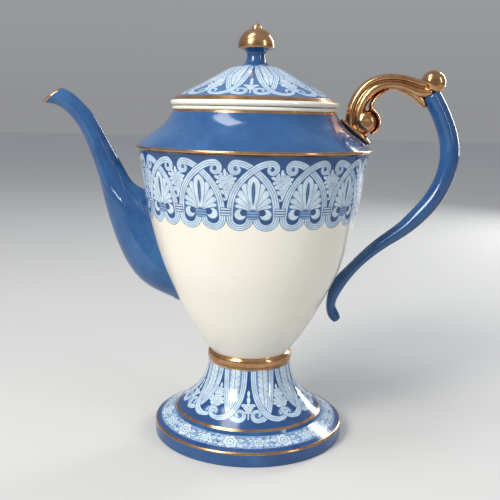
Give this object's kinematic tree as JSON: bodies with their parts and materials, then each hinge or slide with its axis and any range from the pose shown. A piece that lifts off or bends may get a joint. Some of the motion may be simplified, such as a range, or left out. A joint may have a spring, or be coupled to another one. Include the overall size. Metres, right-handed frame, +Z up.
{
  "type": "porcelain coffee or tea pot",
  "caption": "Tall footed porcelain pot with a tapered body, swan-neck spout, looped handle with a gilt scroll, and a loose conical lid with a mushroom knob.",
  "frame": {"origin": "centre of the foot's resting ring, on the table plane", "axes": "+Z up along the turned axis, -X towards the spout, +X towards the handle"},
  "size_m": [0.2458, 0.1384, 0.245],
  "materials": {
    "printed_glaze": "glossy cream porcelain glaze with a cobalt transfer print",
    "cream_glaze": "glossy cream glaze",
    "cobalt_glaze": "glossy cobalt glaze",
    "gilt": "polished copper-gold lustre over porcelain"
  },
  "bodies": {
    "pot": {"foot_pedestal": "printed_glaze", "collar_ring": "gilt", "vessel_body": "printed_glaze", "shoulder_neck": "cobalt_glaze", "neck_rim": "cream_glaze", "spout": "cobalt_glaze", "handle_loop": "cobalt_glaze", "handle_scroll_arm": "gilt", "handle_thumb_ball": "gilt", "handle_volute_ball": "gilt", "handle_scroll_pad": "gilt"},
    "lid": {"lid_shell": "printed_glaze", "lid_flange": "cream_glaze", "knob_stem": "cobalt_glaze", "knob_cap": "gilt", "knob_bud": "gilt"}
  },
  "joints": [
    {"name": "lid_lift", "type": "slide", "parent": "pot", "child": "lid", "axis": [0, 0, 1], "range_m": [0, 0.06]}
  ]
}
